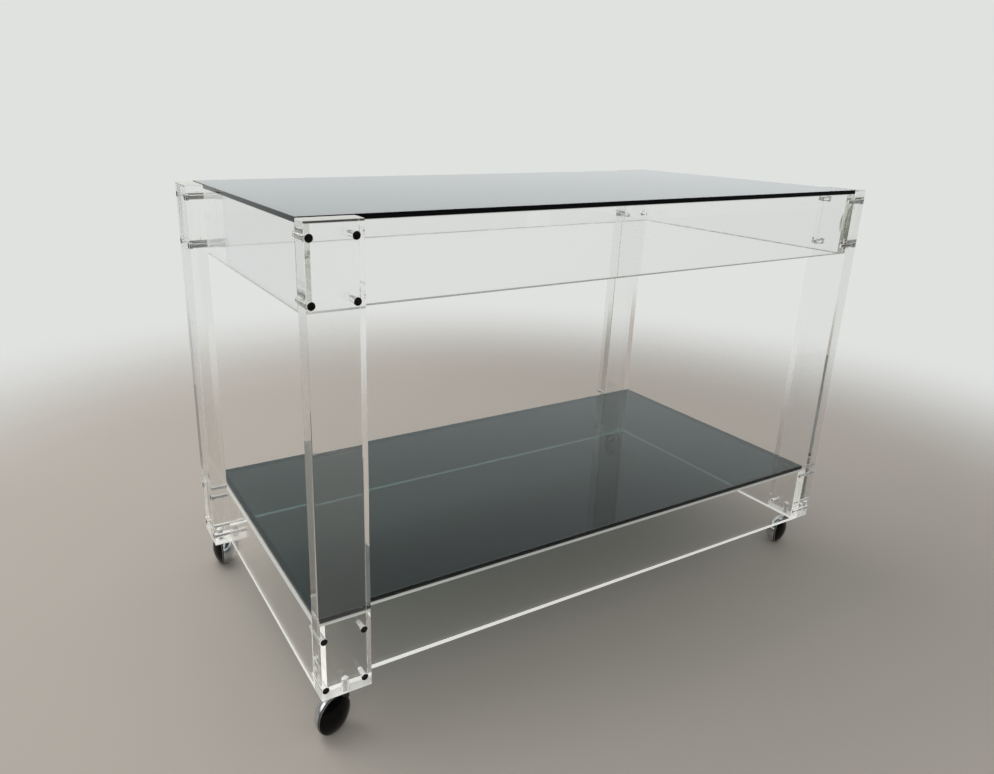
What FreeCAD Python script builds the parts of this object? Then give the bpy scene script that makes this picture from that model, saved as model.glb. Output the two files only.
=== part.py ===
"""Serving trolley: two smoked glass shelves on clear acrylic aprons, held by
four clear acrylic legs set pinwheel fashion round the corners, on ball casters.

Millimetres, +Z up. The origin is on the floor under the middle of the trolley,
+X runs along the long side and -Y is the front. Each corner has its own frame:
its origin is the corner of the apron ring, its x runs along the leg's width,
its y runs into the trolley, and it is turned a quarter turn from the last one.
"""
import FreeCAD
import Part
import math
import os

os.makedirs("parts", exist_ok=True)

# Glass shelves
glass_length = 900.0
glass_depth = 450.0
glass_thickness = 6.0
glass_arris = 0.5
glass_clearance = 0.4
glass_rise = 1.0
lower_glass_inset = 4.0

# Air left between clear pieces that are screwed or laid face to face
seat_gap = 0.1

# Legs
leg_length = 569.0
leg_width = 65.0
leg_thickness = 25.0
leg_arris = 0.6

# Aprons, which carry the glass and tie the legs
apron_thickness = 12.0
upper_apron_height = 92.0
lower_apron_height = 95.0
apron_arris = 0.4

# Screws through the legs, and the black caps that close their holes
screw_radius = 3.0
screw_head_radius = 4.3
screw_head_height = 3.6
screw_tip_chamfer = 0.6
socket_across_flats = 4.0
socket_flat_count = 6
socket_depth = 2.2
cap_height = 1.4
cap_arris = 0.25
end_screw_bite = 10.0
face_screw_bite = 5.0
thread_clearance = 0.04
shank_clearance = 0.3
head_clearance = 0.2
cap_clearance = 0.05
tapped_hole_spare = 1.0
end_screw_inset = 5.5
face_screw_inset = 9.0
apron_screw_inset = 12.0
bottom_screw_inset = 14.0

# Ball casters: where the wheel stands, seen from its stem
neck_height = 8.0
wheel_radius = 26.0
wheel_trail = 14.0
rim_offset = 4.0

# Chromed dome over the caster's carrier
dome_depth = 21.4
dome_shoulder = 16.0
dome_wall = 1.6
dome_floor_gap = 1.6
dome_seat_clearance = 0.2

# Wheel: a crowned face, a rim with a seat for the tyre, ribs and a hub behind
face_rise = 9.2
face_lip = 0.5
face_lip_chamfer = 0.25
tyre_width = 2.2
tyre_depth = 3.2
tyre_lip = 0.8
tyre_shoulder = 0.6
tyre_clearance = 0.05
wheel_back_gap = 0.6
wheel_rim_wall = 2.0
wheel_recess = 4.4
wheel_hub_radius = 6.0
wheel_rib_count = 6
wheel_rib_thickness = 1.2
wheel_rib_step = 0.6
axle_radius = 2.5
axle_cover = 3.0
axle_tail = 2.2
axle_arris = 0.4
axle_running_clearance = 0.05
press_clearance = 0.05
running_gap = 0.3

# Carrier inside the dome, and its neck
web_thickness = 4.0
web_setback = 0.6
boss_radius = 6.0
boss_length = 6.4
neck_radius = 7.0
neck_bite = 5.0
neck_top_gap = 0.4
neck_clearance = 0.2
wheel_clearance = 0.8
washer_radius = 5.5
washer_thickness = 1.0

# Stem, its spring ring, and the nylon socket pressed into the leg
stem_radius = 4.0
stem_rise = 16.0
stem_floor = 1.5
stem_tip_chamfer = 1.0
stem_running_clearance = 0.05
groove_height = 11.0
groove_width = 1.8
groove_depth = 0.8
ring_thickness = 1.4
ring_depth = 1.1
ring_split = 1.6
ring_clearance = 0.05
socket_radius = 5.0
socket_rise = 20.0
socket_crown = 3.0
socket_bore_spare = 1.0
socket_groove_depth = 0.55
socket_clearance = 0.05
socket_top_gap = 0.3

# How far a cutting tool runs past the face that it opens
overrun = 2.0

# Rest angles of the casters about their stems, in degrees
caster_turn = {
    "front_left": 21.0,
    "front_right": 21.0,
    "back_right": 201.0,
    "back_left": -93.0,
}

# Heights and lengths that follow from the sizes above
caster_height = 2 * wheel_radius + neck_height
leg_top = caster_height + leg_length
top_height = leg_top + glass_rise
frame_length = glass_length + 2 * glass_clearance
frame_depth = glass_depth + 2 * glass_clearance
upper_apron_top = top_height - glass_thickness - seat_gap
upper_apron_bottom = upper_apron_top - upper_apron_height
lower_apron_bottom = caster_height
lower_apron_top = lower_apron_bottom + lower_apron_height
lower_glass_bottom = lower_apron_top + seat_gap
counterbore_depth = cap_height + screw_head_height
head_hole_radius = screw_head_radius + head_clearance
shank_hole_radius = screw_radius + shank_clearance
thread_hole_radius = screw_radius + thread_clearance

# Heights of the four screws of each pair, from the floor up
screw_heights = (
    lower_apron_bottom + bottom_screw_inset,
    lower_apron_top - apron_screw_inset,
    upper_apron_bottom + apron_screw_inset,
    upper_apron_top - apron_screw_inset,
)

# The corners in order round the trolley, each with the side that starts there
corner_names = ("front_left", "front_right", "back_right", "back_left")
side_names = ("front", "right", "back", "left")
quarter_turn = 90.0
corner_share = {
    "front_left": (-0.5, -0.5),
    "front_right": (0.5, -0.5),
    "back_right": (0.5, 0.5),
    "back_left": (-0.5, 0.5),
}

up = FreeCAD.Vector(0, 0, 1)
along_x = FreeCAD.Vector(1, 0, 0)
along_y = FreeCAD.Vector(0, 1, 0)
origin = FreeCAD.Vector(0, 0, 0)


def save(name, shapes):
    """Write one node, a single solid or a group of like solids."""
    shape = shapes[0] if len(shapes) == 1 else Part.makeCompound(shapes)
    shape.exportStep("parts/" + name + ".step")


def box(low, high):
    """A block between two corners."""
    size = [b - a for a, b in zip(low, high)]
    return Part.makeBox(size[0], size[1], size[2], FreeCAD.Vector(*low))


def eased_box(low, high, arris):
    """A block whose twelve edges have a small polished arris."""
    block = box(low, high)
    return block.makeChamfer(arris, block.Edges)


def to_corner(shape, index):
    """Move a shape from a corner's own frame to its place on the trolley."""
    name = corner_names[index]
    share_x, share_y = corner_share[name]
    moved = shape.copy()
    moved.rotate(origin, up, quarter_turn * index)
    moved.translate(FreeCAD.Vector(share_x * frame_length, share_y * frame_depth, 0))
    return moved


def side_length(index):
    """Length of the apron ring along the side that starts at a corner."""
    return frame_length if index % 2 == 0 else frame_depth


def spun(points):
    """Revolve a closed outline of (radius, position) points about the Y axis."""
    corners = [FreeCAD.Vector(r, y, 0) for r, y in points]
    wire = Part.makePolygon(corners + corners[:1])
    return Part.Face(wire).revolve(origin, along_y, 360)


def line(a, b):
    """A straight edge between two points."""
    return Part.LineSegment(a, b).toShape()


def point_on(centre, radius, angle):
    """A point of a circle in the XY plane, at an angle in degrees from +X."""
    turn = math.radians(angle)
    return centre + FreeCAD.Vector(radius * math.cos(turn), radius * math.sin(turn), 0)


def arc(centre, radius, start, end):
    """An arc of that circle between two angles in degrees."""
    middle = (start + end) / 2
    points = [point_on(centre, radius, angle) for angle in (start, middle, end)]
    return Part.Arc(*points).toShape()


def spun_edges(edges):
    """Revolve a closed outline of edges about the Y axis."""
    outline = Part.Wire(Part.__sortEdges__(edges))
    return Part.Face(outline).revolve(origin, along_y, 360)


def screw_places():
    """Each screw of a leg: its place along the width, height and bite."""
    places = []
    for height in screw_heights:
        places.append((end_screw_inset, height, end_screw_bite))
        places.append((leg_width - face_screw_inset, height, face_screw_bite))
    return places


def leg():
    """One leg in its corner's frame, drilled for its screws and its caster."""
    low = (0, -leg_thickness, caster_height)
    high = (leg_width, 0, leg_top)
    solid = eased_box(low, high, leg_arris)
    tools = []
    for x, z, bite in screw_places():
        mouth = FreeCAD.Vector(x, -leg_thickness - overrun, z)
        seat_depth = counterbore_depth + overrun
        through = leg_thickness + 2 * overrun
        tools.append(Part.makeCylinder(head_hole_radius, seat_depth, mouth, along_y))
        tools.append(Part.makeCylinder(shank_hole_radius, through, mouth, along_y))
    tools.append(socket_outline(socket_clearance, socket_top_gap, overrun))
    return solid.cut(Part.makeCompound(tools))


def stem_place():
    """The caster's stem axis in its corner's frame, at the leg's bottom."""
    return FreeCAD.Vector(leg_width / 2, -leg_thickness / 2, caster_height)


def socket_outline(grow, rise, drop):
    """The crowned cylinder of the socket, grown for the hole that takes it."""
    height = socket_rise + rise + drop
    base = stem_place() - up * drop
    body = Part.makeCylinder(socket_radius + grow, height, base, up)
    top = base.z + height
    rim = [e for e in body.Edges if abs(e.CenterOfMass.z - top) < socket_crown]
    return body.makeChamfer(socket_crown, rim)


def screw(x, z, bite):
    """A socket head screw, sunk in the leg and driven into an apron."""
    seat = counterbore_depth - leg_thickness
    head = Part.makeCylinder(
        screw_head_radius, screw_head_height,
        FreeCAD.Vector(x, seat - screw_head_height, z), along_y)
    shank = spun([
        (0, seat), (screw_radius, seat), (screw_radius, bite - screw_tip_chamfer),
        (screw_radius - screw_tip_chamfer, bite), (0, bite)])
    shank.translate(FreeCAD.Vector(x, 0, z))
    corner_radius = socket_across_flats / (2 * math.cos(math.pi / socket_flat_count))
    ring = []
    for i in range(socket_flat_count + 1):
        turn = 2 * math.pi * i / socket_flat_count
        ring.append(FreeCAD.Vector(
            x + corner_radius * math.cos(turn),
            seat - screw_head_height,
            z + corner_radius * math.sin(turn)))
    socket = Part.Face(Part.makePolygon(ring)).extrude(along_y * socket_depth)
    return head.fuse(shank).removeSplitter().cut(socket)


def cap(x, z):
    """A black cap that closes the screw's hole, flush with the leg."""
    radius = head_hole_radius - cap_clearance
    back = cap_height - leg_thickness
    solid = spun([
        (0, -leg_thickness), (radius - cap_arris, -leg_thickness),
        (radius, -leg_thickness + cap_arris), (radius, back), (0, back)])
    solid.translate(FreeCAD.Vector(x, 0, z))
    return solid


def apron(index, bottom, top):
    """The apron that starts at a corner, in that corner's frame.

    It butts on the apron of the side before, lies against its own corner's
    leg, and runs through to the next corner's leg, which it meets end on.
    """
    start = apron_thickness + 2 * seat_gap
    end = side_length(index) - seat_gap
    solid = eased_box(
        (start, seat_gap, bottom), (end, seat_gap + apron_thickness, top), apron_arris)
    tools = []
    for z in screw_heights:
        if bottom < z < top:
            face_hole = face_screw_bite + tapped_hole_spare
            face_start = FreeCAD.Vector(leg_width - face_screw_inset, -overrun, z)
            tools.append(Part.makeCylinder(
                thread_hole_radius, face_hole + overrun, face_start, along_y))
            end_hole = end_screw_bite + tapped_hole_spare
            end_start = FreeCAD.Vector(side_length(index) + overrun, end_screw_inset, z)
            tools.append(Part.makeCylinder(
                thread_hole_radius, end_hole + overrun, end_start, -along_x))
    return solid.cut(Part.makeCompound(tools))


def glass(bottom, inset):
    """A shelf of smoked glass with polished edges, drawn in on all four sides."""
    half = (glass_length / 2 - inset, glass_depth / 2 - inset)
    return eased_box(
        (-half[0], -half[1], bottom), (half[0], half[1], bottom + glass_thickness),
        glass_arris)


# Places along the wheel's axis, from the stem, positive towards the dome
wheel_back = rim_offset - wheel_back_gap
tyre_front = wheel_back - tyre_width
face_edge = tyre_front - face_lip
face_apex = face_edge - face_rise
recess_floor = wheel_back - wheel_recess
web_front = rim_offset + web_setback
web_back = web_front + web_thickness
hub_back = web_front - running_gap
boss_back = web_back + boss_length
washer_front = boss_back + running_gap
washer_back = washer_front + washer_thickness
axle_front = face_apex + axle_cover
axle_back = washer_back + axle_tail
wheel_drop = caster_height - wheel_radius
wheel_centre = FreeCAD.Vector(-wheel_trail, 0, -wheel_drop)

# The dome's section: a shoulder arc from the rim, then a crown arc, tangent
shoulder_reach = wheel_radius - dome_shoulder
crown_radius = (wheel_radius ** 2 - 2 * wheel_radius * dome_shoulder + dome_depth ** 2) / (
    2 * (dome_depth - dome_shoulder))
shoulder_centre = FreeCAD.Vector(shoulder_reach, rim_offset, 0)
crown_centre = FreeCAD.Vector(0, rim_offset + dome_depth - crown_radius, 0)
shoulder_turn = math.degrees(math.atan2(crown_radius - dome_depth, shoulder_reach))
crown_middle_turn = (shoulder_turn + quarter_turn) / 2


def wheel():
    """The black wheel: a crowned glossy face, a tyre seat, ribs and a hub."""
    seat_radius = wheel_radius - tyre_depth
    lip_radius = wheel_radius - tyre_lip
    recess_radius = seat_radius - wheel_rim_wall
    bore_radius = axle_radius + press_clearance
    bore_end = axle_front - press_clearance
    crown = (lip_radius ** 2 + face_rise ** 2) / (2 * face_rise)
    spread = math.degrees(math.asin(lip_radius / crown))
    middle = FreeCAD.Vector(0, face_apex + crown, 0)
    corners = [FreeCAD.Vector(r, y, 0) for r, y in [
        (lip_radius, face_edge), (lip_radius, tyre_front), (seat_radius, tyre_front),
        (seat_radius, wheel_back), (recess_radius, wheel_back),
        (recess_radius, recess_floor), (wheel_hub_radius, recess_floor),
        (wheel_hub_radius, hub_back), (bore_radius, hub_back),
        (bore_radius, bore_end), (0, bore_end), (0, face_apex)]]
    edges = [line(a, b) for a, b in zip(corners, corners[1:])]
    edges.append(arc(middle, crown, -quarter_turn, spread - quarter_turn))
    solid = spun_edges(edges)
    lip = [e for e in solid.Edges if abs(e.CenterOfMass.y - face_edge) < face_lip / 2]
    solid = solid.makeChamfer(face_lip_chamfer, lip)
    rib_reach = recess_radius + wheel_rim_wall / 2 - bore_radius - press_clearance
    rib_height = wheel_recess - wheel_rib_step + press_clearance
    ribs = []
    for i in range(wheel_rib_count):
        rib = Part.makeBox(
            rib_reach, rib_height, wheel_rib_thickness,
            FreeCAD.Vector(bore_radius + press_clearance, recess_floor - press_clearance,
                           -wheel_rib_thickness / 2))
        rib.rotate(origin, along_y, 360 * i / wheel_rib_count)
        ribs.append(rib)
    return solid.multiFuse(ribs).removeSplitter()


def tyre():
    """The rubber tread, a ring with eased shoulders on the wheel's seat."""
    inner = wheel_radius - tyre_depth + tyre_clearance
    front = tyre_front + tyre_clearance
    return spun([
        (inner, front), (wheel_radius - tyre_shoulder, front),
        (wheel_radius, front + tyre_shoulder), (wheel_radius, wheel_back - tyre_shoulder),
        (wheel_radius - tyre_shoulder, wheel_back), (inner, wheel_back)])


def axle():
    """The steel axle, pressed in the wheel and turning in the carrier's boss."""
    return spun([
        (0, axle_front), (axle_radius - axle_arris, axle_front),
        (axle_radius, axle_front + axle_arris), (axle_radius, axle_back - axle_arris),
        (axle_radius - axle_arris, axle_back), (0, axle_back)])


def washer():
    """The push-on washer that keeps the axle in its boss."""
    inner = axle_radius + press_clearance
    return spun([
        (inner, washer_front), (washer_radius, washer_front),
        (washer_radius, washer_back), (inner, washer_back)])


def dome_lining():
    """Corners of the dome's inner wall, from its rim to its crown."""
    return [
        FreeCAD.Vector(wheel_radius - dome_wall, rim_offset, 0),
        point_on(shoulder_centre, dome_shoulder - dome_wall, shoulder_turn),
        point_on(crown_centre, crown_radius - dome_wall, crown_middle_turn),
        FreeCAD.Vector(0, rim_offset + dome_depth - dome_wall, 0)]


def dome_shell():
    """The chromed half ball over the carrier, open towards the wheel."""
    lining = dome_lining()
    rim = FreeCAD.Vector(wheel_radius, rim_offset, 0)
    crown = FreeCAD.Vector(0, rim_offset + dome_depth, 0)
    edges = [line(a, b) for a, b in zip(lining, lining[1:])]
    edges.append(line(rim, lining[0]))
    edges.append(line(lining[-1], crown))
    edges.append(arc(shoulder_centre, dome_shoulder, 0, shoulder_turn))
    edges.append(arc(crown_centre, crown_radius, shoulder_turn, quarter_turn))
    return spun_edges(edges)


def dome_cover():
    """The dome in the caster's frame, notched for the neck, clear of the floor."""
    shell = on_axle(dome_shell())
    notch = Part.makeCylinder(neck_radius + neck_clearance, wheel_drop, origin, -up)
    reach = wheel_radius + overrun
    floor_cut = Part.makeBox(
        2 * reach, dome_depth + 2 * overrun, reach,
        FreeCAD.Vector(
            -wheel_trail - reach, rim_offset - overrun,
            dome_floor_gap - caster_height - reach))
    return shell.cut(Part.makeCompound([notch, floor_cut]))


def web_radius(place):
    """Radius of the web where it seats in the dome, at a place on the axis."""
    rim, shoulder = dome_lining()[:2]
    share = (place - rim.y) / (shoulder.y - rim.y)
    return rim.x + share * (shoulder.x - rim.x) - dome_seat_clearance


def carrier():
    """The black nylon carrier: web and boss in the dome, neck over the wheel."""
    bore = axle_radius + axle_running_clearance
    body = on_axle(spun([
        (bore, web_front), (web_radius(web_front), web_front),
        (web_radius(web_back), web_back), (boss_radius, web_back),
        (boss_radius, boss_back), (bore, boss_back)]))
    web_rise = math.sqrt(web_radius(web_back) ** 2 - wheel_trail ** 2)
    neck_length = wheel_drop - web_rise + neck_bite - neck_top_gap
    neck_top = FreeCAD.Vector(0, 0, -neck_top_gap)
    neck = Part.makeCylinder(neck_radius, neck_length, neck_top, -up)
    path = Part.makeCylinder(
        wheel_radius + wheel_clearance, neck_radius + web_front + overrun,
        wheel_centre - along_y * (neck_radius + overrun), along_y)
    stem_bore = Part.makeCylinder(
        stem_radius + press_clearance, stem_root + overrun, up * overrun, -up)
    return body.fuse(neck.cut(path)).removeSplitter().cut(stem_bore)


# The stem's foot stays above the wheel, with a floor of nylon under it
foot_rise = math.sqrt(
    (wheel_radius + wheel_clearance) ** 2 - (wheel_trail - stem_radius) ** 2)
stem_root = wheel_drop - foot_rise - stem_floor


def stem():
    """The steel stem: rooted in the neck, turning in the socket."""
    groove_radius = stem_radius - groove_depth
    outline = [
        (0, -stem_root), (stem_radius, -stem_root),
        (stem_radius, groove_height), (groove_radius, groove_height),
        (groove_radius, groove_height + groove_width),
        (stem_radius, groove_height + groove_width),
        (stem_radius, stem_rise - stem_tip_chamfer),
        (stem_radius - stem_tip_chamfer, stem_rise), (0, stem_rise)]
    return upright(spun(outline))


def upright(shape):
    """Turn a shape made about the Y axis so that its axis stands up."""
    shape.rotate(origin, along_x, quarter_turn)
    return shape


def grip_ring():
    """The split spring ring that holds the stem in its socket."""
    inner = stem_radius - groove_depth + ring_clearance
    outer = inner + ring_depth
    base = groove_height + (groove_width - ring_thickness) / 2
    ring = upright(spun([
        (inner, base), (outer, base),
        (outer, base + ring_thickness), (inner, base + ring_thickness)]))
    split = Part.makeBox(
        outer + overrun, ring_split, groove_width + overrun,
        FreeCAD.Vector(0, -ring_split / 2, base - overrun / 2))
    return ring.cut(split)


def socket():
    """The nylon socket in the leg's end, in its corner's frame."""
    outer = socket_outline(0, 0, 0)
    bore_radius = stem_radius + stem_running_clearance
    bore_rise = stem_rise + socket_bore_spare
    foot = stem_place()
    bore = Part.makeCylinder(bore_radius, bore_rise + overrun, foot - up * overrun, up)
    groove = Part.makeCylinder(
        bore_radius + socket_groove_depth, groove_width + 2 * running_gap,
        foot + up * (groove_height - running_gap), up)
    return outer.cut(Part.makeCompound([bore, groove]))


def caster_piece(shape, index):
    """Place a caster's piece: turned about its stem, at its leg, on its corner."""
    name = corner_names[index]
    share_x, share_y = corner_share[name]
    place = stem_place()
    place.z = 0
    at = FreeCAD.Placement(origin, FreeCAD.Rotation(up, quarter_turn * index)).multVec(place)
    moved = shape.copy()
    moved.rotate(origin, up, caster_turn[name])
    moved.translate(at + FreeCAD.Vector(
        share_x * frame_length, share_y * frame_depth, caster_height))
    return moved


def on_axle(shape):
    """Move a piece that was spun about the Y axis to the wheel's axle."""
    shape.translate(wheel_centre)
    return shape


save("top_glass", [glass(upper_apron_top + seat_gap, 0)])
save("lower_glass", [glass(lower_glass_bottom, lower_glass_inset)])

for i, corner in enumerate(corner_names):
    save(corner + "_leg", [to_corner(leg(), i)])
    screws = [to_corner(screw(x, z, bite), i) for x, z, bite in screw_places()]
    caps = [to_corner(cap(x, z), i) for x, z, bite in screw_places()]
    save(corner + "_leg_screws", screws)
    save(corner + "_screw_caps", caps)
    side = side_names[i]
    upper = apron(i, upper_apron_bottom, upper_apron_top)
    lower = apron(i, lower_apron_bottom, lower_apron_top)
    save("upper_" + side + "_apron", [to_corner(upper, i)])
    save("lower_" + side + "_apron", [to_corner(lower, i)])
    save(corner + "_socket", [to_corner(socket(), i)])
    save(corner + "_stem", [caster_piece(stem(), i)])
    save(corner + "_grip_ring", [caster_piece(grip_ring(), i)])
    save(corner + "_carrier", [caster_piece(carrier(), i)])
    save(corner + "_dome_cover", [caster_piece(dome_cover(), i)])
    save(corner + "_wheel", [caster_piece(on_axle(wheel()), i)])
    save(corner + "_tyre", [caster_piece(on_axle(tyre()), i)])
    save(corner + "_axle", [caster_piece(on_axle(axle()), i)])
    save(corner + "_axle_washer", [caster_piece(on_axle(washer()), i)])
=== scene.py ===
"""A low serving trolley: smoked glass shelves, a clear acrylic frame and four ball casters.

Lengths are in metres, and places come from the solids of the frame wherever they can.
"""

import math

import bmesh
import bpy
from mathutils import Matrix, Vector


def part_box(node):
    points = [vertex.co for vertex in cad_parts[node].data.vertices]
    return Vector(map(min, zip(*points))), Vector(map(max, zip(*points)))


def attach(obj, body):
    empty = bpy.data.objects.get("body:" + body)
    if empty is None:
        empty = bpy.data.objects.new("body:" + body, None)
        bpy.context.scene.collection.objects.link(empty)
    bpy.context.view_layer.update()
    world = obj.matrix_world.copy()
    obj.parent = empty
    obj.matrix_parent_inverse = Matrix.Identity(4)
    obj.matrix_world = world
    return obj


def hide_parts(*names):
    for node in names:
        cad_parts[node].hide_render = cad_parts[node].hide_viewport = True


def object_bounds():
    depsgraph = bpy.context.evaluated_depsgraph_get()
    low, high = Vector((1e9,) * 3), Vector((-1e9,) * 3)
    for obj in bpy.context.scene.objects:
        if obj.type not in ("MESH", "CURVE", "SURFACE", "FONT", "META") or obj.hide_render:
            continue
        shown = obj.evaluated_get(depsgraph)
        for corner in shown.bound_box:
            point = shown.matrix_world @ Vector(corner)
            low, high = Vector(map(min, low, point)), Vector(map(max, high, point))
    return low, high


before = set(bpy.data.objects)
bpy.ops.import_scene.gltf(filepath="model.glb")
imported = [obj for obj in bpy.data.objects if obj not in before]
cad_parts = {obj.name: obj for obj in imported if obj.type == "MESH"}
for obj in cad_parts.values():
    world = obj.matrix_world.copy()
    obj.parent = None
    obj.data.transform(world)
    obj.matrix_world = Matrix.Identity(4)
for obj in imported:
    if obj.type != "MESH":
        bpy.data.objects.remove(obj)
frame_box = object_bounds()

bl_info = {
    "name": "Serving trolley",
    "version": (1, 0, 0),
    "blender": (4, 5, 0),
    "location": "3D View > Sidebar > Trolley",
    "description": "Smoked glass shelves on a clear acrylic frame with ball casters",
    "category": "Object",
}

MM = 0.001
CORNERS = ("front_left", "front_right", "back_right", "back_left")
SIDES = ("front", "right", "back", "left")
LEVELS = ("upper", "lower")
QUARTER_TURN = math.pi / 2
WHITE = (1.0, 1.0, 1.0)
BLACK = (0.0, 0.0, 0.0)

# Points nearer than this are merged, in a mesh and between the rings of a turned shape
SAME_POINT = 0.001 * MM
SAME_RING_POINT = 0.002 * MM
# Edges over this angle stay sharp
SHARP_ANGLE = math.radians(35)
# Digits after the point to which places and lengths are compared
PLACE_DIGITS = 4
LENGTH_DIGITS = 5

# Light that a clear face lets through to what is behind it, and the least that a tint lets through
FACE_CLEAR_SHARE = 0.985
TINT_LEAST_SHARE = 0.001
# Below the first height the acrylic's milky faces are painted brightest and glow most, and over the second
# they get painted shade and a weaker painted glow
PAINTED_LIGHT_BELOW = 100 * MM
PAINTED_SHADE_ABOVE = 110 * MM
# Turns of the fine lines on acrylic and on metal, in radians
HAIRLINE_TURN = (0.3, 0.5, 1.1)
STREAK_TURN = (0.0, 0.4, 0.9)
# What dust adds to a plastic's roughness, and how many times rougher tarnish makes a metal
DUST_DULLS = 0.18
TARNISH_DULLS = 2.2
# Darker and thinner patches of a film, and darker ones of the floor, beside the rest
FILM_DARK_SHARE = 0.7
FILM_THIN_SHARE = 0.6
FLOOR_DARK_SHARE = 0.94

# A screw: its shank's radius as a share of its head's, and its sides
SHANK_SHARE = 3.0 / 4.3
SCREW_SIDES = 32
# Its thread: the ridge's foot and the plain stretch at each end as shares of the pitch, how deep
# the core lies under the ridge's middle as a share of the ridge's radius, and the steps in a turn
THREAD_FOOT_SHARE = 0.94
THREAD_END_SHARE = 0.75
THREAD_CORE_SHARE = 0.4
THREAD_STEPS = 18
RIDGE_CORNERS = 3

# A cap: its dish's floor as a share of its radius, the dish's rim as a share of the floor's
# radius, the depth at the floor's edge as a share of that in the middle, and the cap's sides
DISH_FLOOR_SHARE = 0.45
DISH_RIM_SHARE = 1.25
DISH_EDGE_SHARE = 0.7
CAP_SIDES = 40

# The film's steps along its arc, and the stain's points with how wide and tall its halves are
FILM_STEPS = 24
STAIN_POINTS = 32
UPPER_STAIN_SHARES = (1.0, 0.8)
LOWER_STAIN_SHARES = (0.8, 1.1)

# The floor goes on past the fade by its rim
FLOOR_RIM = 0.2
FLOOR_SIDES = 96
# Where gloss mirrors a soft glow, and how strong it is
GLOW_DIRECTION = Vector((-0.5, 0.45, 0.74))
GLOW_COLOUR = (1.6, 1.6, 1.6)
# Enough for light to get through all the faces of the glass and the acrylic
BOUNCES = 64


# Colours and nodes

def linear(hex_colour):
    """An sRGB hex colour as linear red, green and blue."""
    shares = [int(hex_colour[i:i + 2], 16) / 255 for i in (1, 3, 5)]
    return tuple(s / 12.92 if s <= 0.04045 else ((s + 0.055) / 1.055) ** 2.4 for s in shares)


def shaded(colour, share):
    """A colour that is darker by a share."""
    return [channel * share for channel in colour]


def add_node(tree, kind, inputs=None, **settings):
    """Adds a node with its settings and its inputs' values or links, and returns its outputs by name.

    An input is given by name, or by place where several have the same name. A colour gets full
    alpha, and an input that takes several links gets a list of them.
    """
    node = tree.nodes.new(kind)
    for name, value in settings.items():
        setattr(node, name, value)
    shown = {socket.name: socket for socket in node.inputs if socket.enabled}
    for name, value in (inputs or {}).items():
        socket = shown[name] if name in shown else node.inputs[name]
        if isinstance(value, bpy.types.NodeSocket):
            tree.links.new(value, socket)
        elif socket.is_multi_input:
            for link in value:
                tree.links.new(link, socket)
        elif socket.type == "RGBA":
            socket.default_value = (*value, 1.0)
        else:
            socket.default_value = value
    return {socket.name: socket for socket in node.outputs if socket.enabled}


def new_material(name):
    """An empty node material and its tree."""
    material = bpy.data.materials.new(name)
    material.use_nodes = True
    material.node_tree.nodes.clear()
    return material, material.node_tree


def mottling(tree, patch, low=0.0, high=1.0, start=0.0, end=1.0, detail=3.0, distortion=0.0):
    """A value that goes from low to high in soft patches of about that width on the piece.

    It is low where the noise is under start, and high where it is over end.
    """
    noise = add_node(tree, "ShaderNodeTexNoise", {
        "Vector": add_node(tree, "ShaderNodeTexCoord")["Object"],
        "Scale": 1 / patch,
        "Detail": detail,
        "Roughness": 0.55,
        "Distortion": distortion,
    })
    return add_node(tree, "ShaderNodeMapRange", {
        "Value": noise["Fac"],
        "From Min": start,
        "From Max": end,
        "To Min": low,
        "To Max": high,
    })["Result"]


def scratches(tree, length, width, turn):
    """Fine lines of one direction: noise stretched along the line.

    Real ones are hundredths of a millimetre wide, and these are drawn wider, so that they show.
    """
    along = add_node(tree, "ShaderNodeMapping", {
        "Vector": add_node(tree, "ShaderNodeTexCoord")["Object"],
        "Rotation": turn,
        "Scale": (1 / length, 1 / width, 1 / width),
    })
    lines = add_node(tree, "ShaderNodeTexNoise", {
        "Vector": along["Vector"],
        "Scale": 1.0,
        "Detail": 1.0,
    })
    return add_node(tree, "ShaderNodeMapRange", {
        "Value": lines["Fac"],
        "From Min": 0.66,
        "From Max": 0.74,
    })["Result"]


def finish_clear(tree, surface, seen_through, depth):
    """Ends a clear material, through which white looks that colour when it is that deep.

    Its faces are open to lamp and diffuse rays, so that what is behind them is lit.
    """
    path = add_node(tree, "ShaderNodeLightPath")
    film = add_node(tree, "ShaderNodeBsdfTransparent", {"Color": shaded(WHITE, FACE_CLEAR_SHARE)})
    for ray in ("Is Diffuse Ray", "Is Shadow Ray"):
        layers = {0: path[ray], 1: surface, 2: film["BSDF"]}
        surface = add_node(tree, "ShaderNodeMixShader", layers)["Shader"]
    loss = [-math.log(max(share, TINT_LEAST_SHARE)) / depth for share in seen_through]
    density = max(loss)
    tint = add_node(tree, "ShaderNodeVolumeAbsorption", {
        "Color": [1 - value / density for value in loss],
        "Density": density,
    })
    add_node(tree, "ShaderNodeOutputMaterial", {"Surface": surface, "Volume": tint["Volume"]})


# Materials

def smoked_float_glass(finishes, thickness):
    """Grey float glass with polished edges: dark, mirror smooth, black where it is seen along."""
    material, tree = new_material("smoked_float_glass")
    surface = add_node(tree, "ShaderNodeBsdfPrincipled", {
        "Base Color": WHITE,
        "Transmission Weight": 1.0,
        "IOR": 1.52,
        "Roughness": mottling(tree, patch=90 * MM, high=0.008, start=0.45, end=0.75, distortion=1.2),
    })
    finish_clear(tree, surface["BSDF"], finishes.glass_seen_through, thickness)
    return material


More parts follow.
